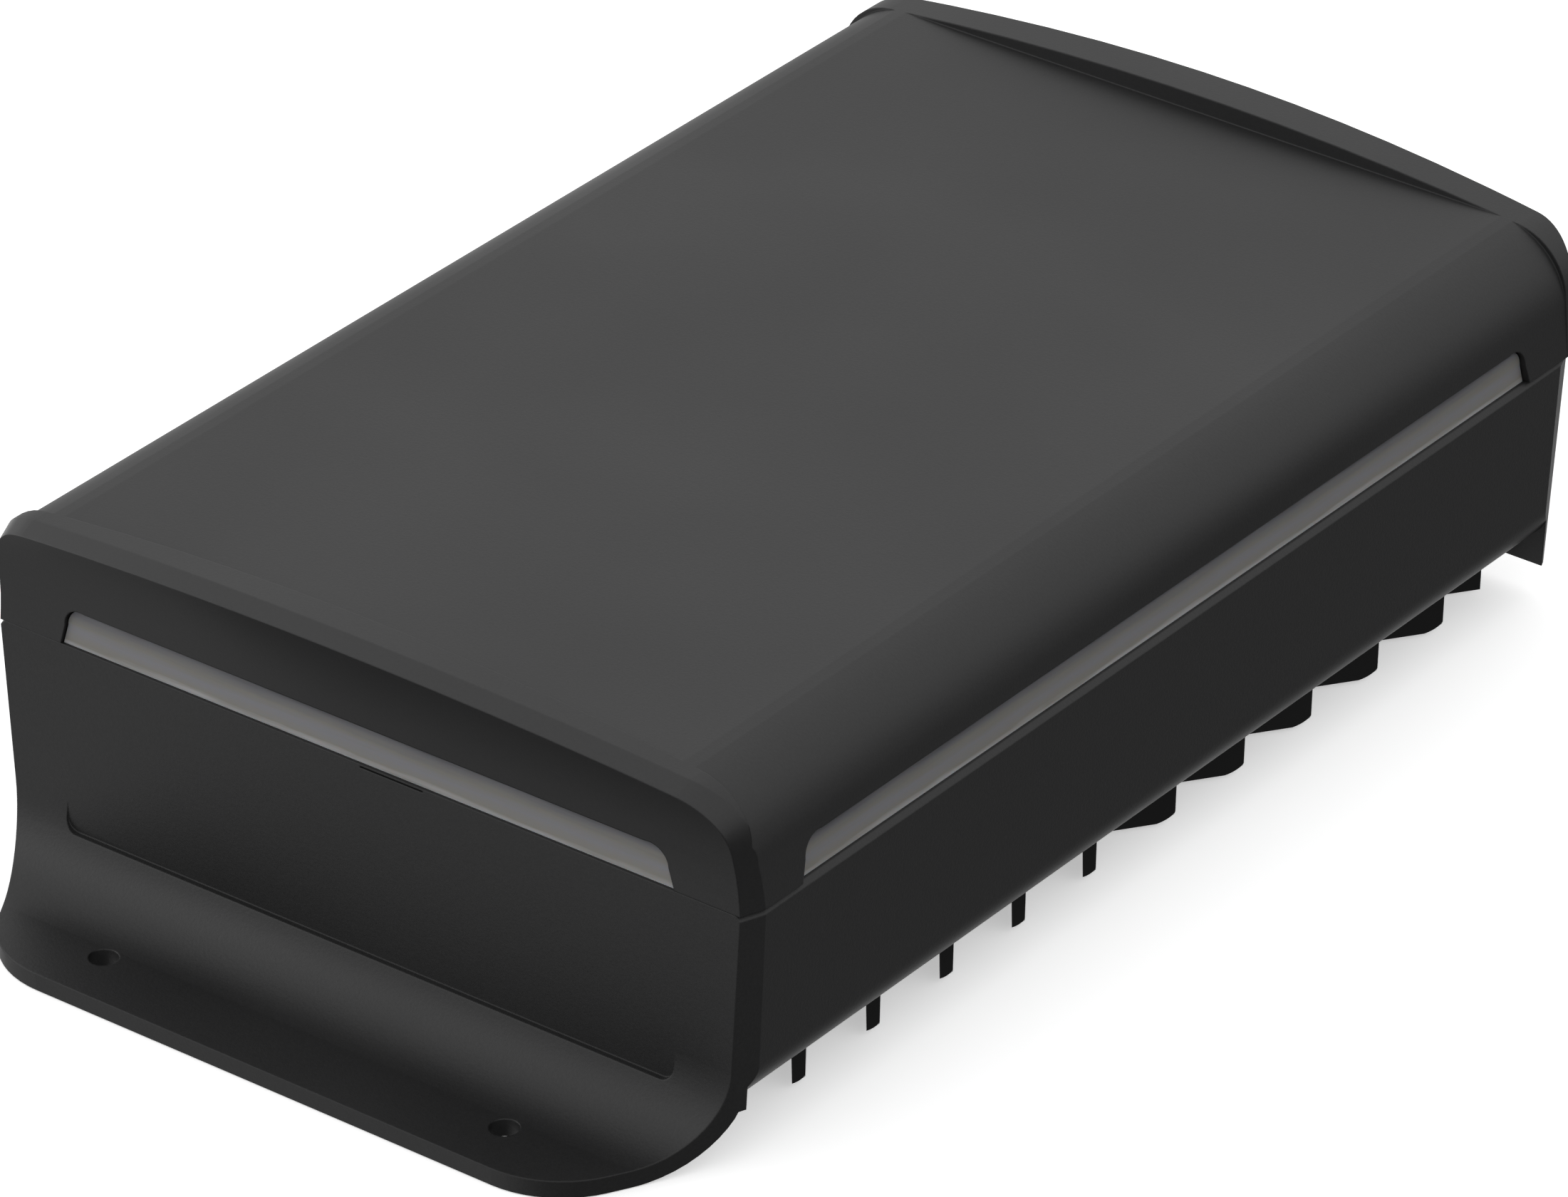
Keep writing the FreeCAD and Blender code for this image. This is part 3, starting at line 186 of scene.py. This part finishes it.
def frosted_bar(name):
    """Light bar with painted light: lightest at its foot, darker towards its top with painted shade
    from the upper edge of its recess, and faint lengthwise bands that are painted reflections.
    """
    material, tree, shader = new_material(name)
    place = tree.nodes.new("ShaderNodeTexCoord")
    split = tree.nodes.new("ShaderNodeSeparateXYZ")
    tree.links.new(place.outputs["Object"], split.inputs["Vector"])
    height = number_range(tree, split.outputs["Z"], 0.0, 1.0, BAR_FOOT, BAR_FOOT + BAR_HEIGHT)
    node = tree.nodes.new("ShaderNodeValToRGB")
    stops = node.color_ramp.elements
    # colour stops of painted light, from foot to top: painted reflection bands with warm and cool
    # tints, then painted shade towards the top
    bands = ((0.0, 168, 0.02, 0.02), (0.15, 128, 0.04, -0.1), (0.4, 128, 0.0, 0.08),
             (0.6, 122, 0.03, -0.1), (0.82, 104, 0.0, 0.08), (1.0, 66, 0.0, 0.1))
    for number, (position, level, warm, cool) in enumerate(bands):
        stop = stops[number] if number < 2 else stops.new(position)
        stop.position = position
        stop.color = (*grey(level, warm, cool), 1.0)
    # streaks that run along the bar move the painted reflection bands up and down a little
    streak = noise(tree, 900.0, 3.0, 0.6, (0.06, 0.06, 1.0))
    shift = tree.nodes.new("ShaderNodeMath")
    shift.operation = "MULTIPLY_ADD"
    shift.inputs[1].default_value = 0.3
    tree.links.new(streak, shift.inputs[0])
    tree.links.new(number_range(tree, height, -0.15, 0.85), shift.inputs[2])
    tree.links.new(shift.outputs["Value"], node.inputs["Fac"])
    tree.links.new(node.outputs["Color"], shader.inputs["Base Color"])
    fine = noise(tree, 1200.0, 2.0, 0.5)
    rough = number_range(tree, fine, 0.45, 0.55)
    tree.links.new(rough, shader.inputs["Roughness"])
    shader.inputs["Subsurface Weight"].default_value = 0.15
    shader.inputs["Subsurface Scale"].default_value = 2.0 * MM
    bump(tree, shader, [(fine, 0.2, 0.02 * MM)])
    return material


def threaded(name, colour, roughness):
    """Plated brass with the turns of a fine thread along the length, each groove darkened with
    painted shade.
    """
    material, tree, shader = new_material(name)
    place = tree.nodes.new("ShaderNodeTexCoord")
    turns = tree.nodes.new("ShaderNodeTexWave")
    turns.bands_direction = "Y"
    turns.inputs["Scale"].default_value = math.pi * 0.1 / (THREAD_PITCH * MM)
    tree.links.new(place.outputs["Object"], turns.inputs["Vector"])
    # painted shade: the colour darkens to 0.6 of itself in the grooves of the thread
    tone = ramp(tree, turns.outputs["Fac"], tuple(c * 0.6 for c in colour), colour, 0.1, 0.6)
    tree.links.new(tone, shader.inputs["Base Color"])
    rough = number_range(tree, noise(tree, 300.0), roughness - 0.05, roughness + 0.05)
    tree.links.new(rough, shader.inputs["Roughness"])
    shader.inputs["Metallic"].default_value = 1.0
    bump(tree, shader, [(turns.outputs["Fac"], 0.6, 0.15 * MM)])
    return material


def brushed(name, colour, roughness):
    material, tree, shader = new_material(name)
    lines = noise(tree, 400.0, 3.0, 0.6, BRUSH_WAY)
    tone = ramp(tree, lines, tuple(c * 0.82 for c in colour), colour)
    tree.links.new(tone, shader.inputs["Base Color"])
    rough = number_range(tree, lines, roughness - 0.07, roughness + 0.08)
    tree.links.new(rough, shader.inputs["Roughness"])
    shader.inputs["Metallic"].default_value = 1.0
    bump(tree, shader, [(lines, 0.12, 0.05 * MM)])
    return material


def plain(name, colour, roughness, grain_size=0.6, depth=0.02, metallic=0.0):
    material, tree, shader = new_material(name)
    fine = noise(tree, 1.0 / (grain_size * MM), 2.0, 0.5)
    tone = ramp(tree, fine, tuple(c * 0.85 for c in colour),
                tuple(min(1.0, c * 1.08) for c in colour))
    tree.links.new(tone, shader.inputs["Base Color"])
    rough = number_range(tree, fine, roughness - 0.05, roughness + 0.05)
    tree.links.new(rough, shader.inputs["Roughness"])
    shader.inputs["Metallic"].default_value = metallic
    bump(tree, shader, [(fine, 0.3, depth * MM)])
    return material


LOOKS = {
    "cover_plastic": grained("cover_plastic", 24, 34, 0.5, 0.5, 0.045, smooth_bevels=True,
                             edge=EDGE_RADIUS),
    "casing_metal": grained("casing_metal", 22, 34, 0.5, 0.5, 0.06, edge=EDGE_RADIUS),
    "black_aluminium": grained("black_aluminium", 8, 13, 0.4, 0.3, 0.015),
    "seal_rubber": plain("seal_rubber", grey(30), 0.8),
    "diffuser": frosted_bar("diffuser"),
    "circuit_board": plain("circuit_board", (0.012, 0.07, 0.03), 0.45, 1.2),
    "lamp_white": plain("lamp_white", (0.75, 0.74, 0.62), 0.35),
    "brass": brushed("brass", (0.72, 0.5, 0.2), 0.35),
    "steel": brushed("steel", (0.55, 0.55, 0.56), 0.35),
    "tinned_steel": brushed("tinned_steel", (0.62, 0.62, 0.62), 0.4),
    "ceramic": plain("ceramic", (0.62, 0.58, 0.5), 0.6),
    "chip_black": plain("chip_black", grey(36), 0.55),
    "thermal_pad": plain("thermal_pad", (0.2, 0.3, 0.42), 0.8),
    "bare_aluminium": brushed("bare_aluminium", (0.7, 0.7, 0.71), 0.38),
    "capacitor_sleeve": plain("capacitor_sleeve", (0.01, 0.012, 0.05), 0.3),
    "gold_brass": threaded("gold_brass", (0.83, 0.6, 0.25), 0.28),
    "jack_plastic": plain("jack_plastic", grey(24), 0.5),
}

SLOT_OF = {entry["node"]: entry["material_slot"] for entry in frame["record"]["subparts"]}
for name, obj in NODES.items():
    look = LOOKS[SLOT_OF[name]]
    for place in obj.material_slots:
        place.material = look
    if not obj.material_slots:
        obj.data.materials.append(look)

# ------------------------------------------------------------------ floor, light, camera
FLOOR_HALF = 6.0
FLOOR_GLOW = 0.45
FLOOR_GAP = 0.2 * MM         # the floor lies this far below the object
HORIZON = (-0.25, 0.35)      # the world brightens between these heights of view
WORLD_LOW, WORLD_HIGH = 0.13, 0.95
CAMERA_LENS = 234.51
CAMERA_PLACE = (0.89316, -1.17448 + 0.008672, 0.83163 + 0.0467)
CAMERA_TURN, CAMERA_TILT = math.radians(37.367), math.radians(30.067)


def add_floor():
    mesh = bpy.data.meshes.new("floor")
    corners = [(x * FLOOR_HALF, y * FLOOR_HALF, 0) for x, y in ((-1, -1), (1, -1), (1, 1), (-1, 1))]
    mesh.from_pydata(corners, [], [(0, 1, 2, 3)])
    obj = bpy.data.objects.new("floor", mesh)
    bpy.context.scene.collection.objects.link(obj)
    material, tree, shader = new_material("floor_white")
    shader.inputs["Base Color"].default_value = (0.92, 0.92, 0.92, 1)
    shader.inputs["Roughness"].default_value = 0.9
    shader.inputs["Specular IOR Level"].default_value = 0.0
    shader.inputs["Emission Color"].default_value = (1, 1, 1, 1)
    shader.inputs["Emission Strength"].default_value = FLOOR_GLOW
    mesh.materials.append(material)
    obj.location.z = CAD_LOW.z - FLOOR_GAP
    # the floor is seen by the camera but neither lights the object nor is mirrored in it
    obj.visible_diffuse = False
    obj.visible_glossy = False


def area_light(name, location, target, size, power):
    data = bpy.data.lights.new(name, "AREA")
    data.shape = "RECTANGLE"
    data.size, data.size_y = size
    data.energy = power
    obj = bpy.data.objects.new(name, data)
    obj.location = location
    aim = Vector(target) - Vector(location)
    obj.rotation_euler = aim.to_track_quat("-Z", "Y").to_euler()
    bpy.context.scene.collection.objects.link(obj)


# which way each card stands, how far it spreads (the cosine where it starts), its brightness
CARDS = (((-0.62, -0.66, -0.42), 0.45, 0.6),
         ((-0.52, 0.69, -0.50), 0.6, 1.1))


def studio_world():
    """Bright above the horizon, dim below it, with the cards."""
    world = bpy.data.worlds.new("studio")
    bpy.context.scene.world = world
    world.use_nodes = True
    tree = world.node_tree
    place = tree.nodes.new("ShaderNodeTexCoord")
    split = tree.nodes.new("ShaderNodeSeparateXYZ")
    tree.links.new(place.outputs["Generated"], split.inputs["Vector"])
    level = tree.nodes.new("ShaderNodeMapRange")
    level.interpolation_type = "SMOOTHSTEP"
    level.inputs["From Min"].default_value = HORIZON[0]
    level.inputs["From Max"].default_value = HORIZON[1]
    level.inputs["To Min"].default_value = WORLD_LOW
    level.inputs["To Max"].default_value = WORLD_HIGH
    tree.links.new(split.outputs["Z"], level.inputs["Value"])
    # pale cards standing low: one in front on the left, one behind on the left
    total = level.outputs["Result"]
    for way, start, strength in CARDS:
        card = tree.nodes.new("ShaderNodeVectorMath")
        card.operation = "DOT_PRODUCT"
        card.inputs[1].default_value = way
        tree.links.new(place.outputs["Generated"], card.inputs[0])
        glow = tree.nodes.new("ShaderNodeMapRange")
        glow.interpolation_type = "SMOOTHSTEP"
        glow.inputs["From Min"].default_value = start
        glow.inputs["From Max"].default_value = 1.0
        glow.inputs["To Max"].default_value = strength
        tree.links.new(card.outputs["Value"], glow.inputs["Value"])
        brighter = tree.nodes.new("ShaderNodeMath")
        brighter.operation = "MAXIMUM"
        tree.links.new(total, brighter.inputs[0])
        tree.links.new(glow.outputs["Result"], brighter.inputs[1])
        total = brighter.outputs["Value"]
    background = tree.nodes["Background"]
    background.inputs["Color"].default_value = (1, 1, 1, 1)
    tree.links.new(total, background.inputs["Strength"])


add_floor()
studio_world()
area_light("left_panel", (-0.75, -0.45, 0.30), (-0.05, -0.1, 0.03), (0.5, 0.5), 1.2)
bpy.context.scene.view_settings.view_transform = "Standard"

camera_data = bpy.data.cameras.new("camera")
camera_data.sensor_width = 36.0
camera_data.lens = CAMERA_LENS
camera_data.clip_start = 0.05
camera_data.clip_end = 20.0
camera = bpy.data.objects.new("camera", camera_data)
level_part = math.cos(CAMERA_TILT)
back = Vector((math.sin(CAMERA_TURN) * level_part, -math.cos(CAMERA_TURN) * level_part,
               math.sin(CAMERA_TILT)))
camera.location = CAMERA_PLACE
camera.rotation_euler = (-back).to_track_quat("-Z", "Y").to_euler()
bpy.context.scene.collection.objects.link(camera)
bpy.context.scene.camera = camera
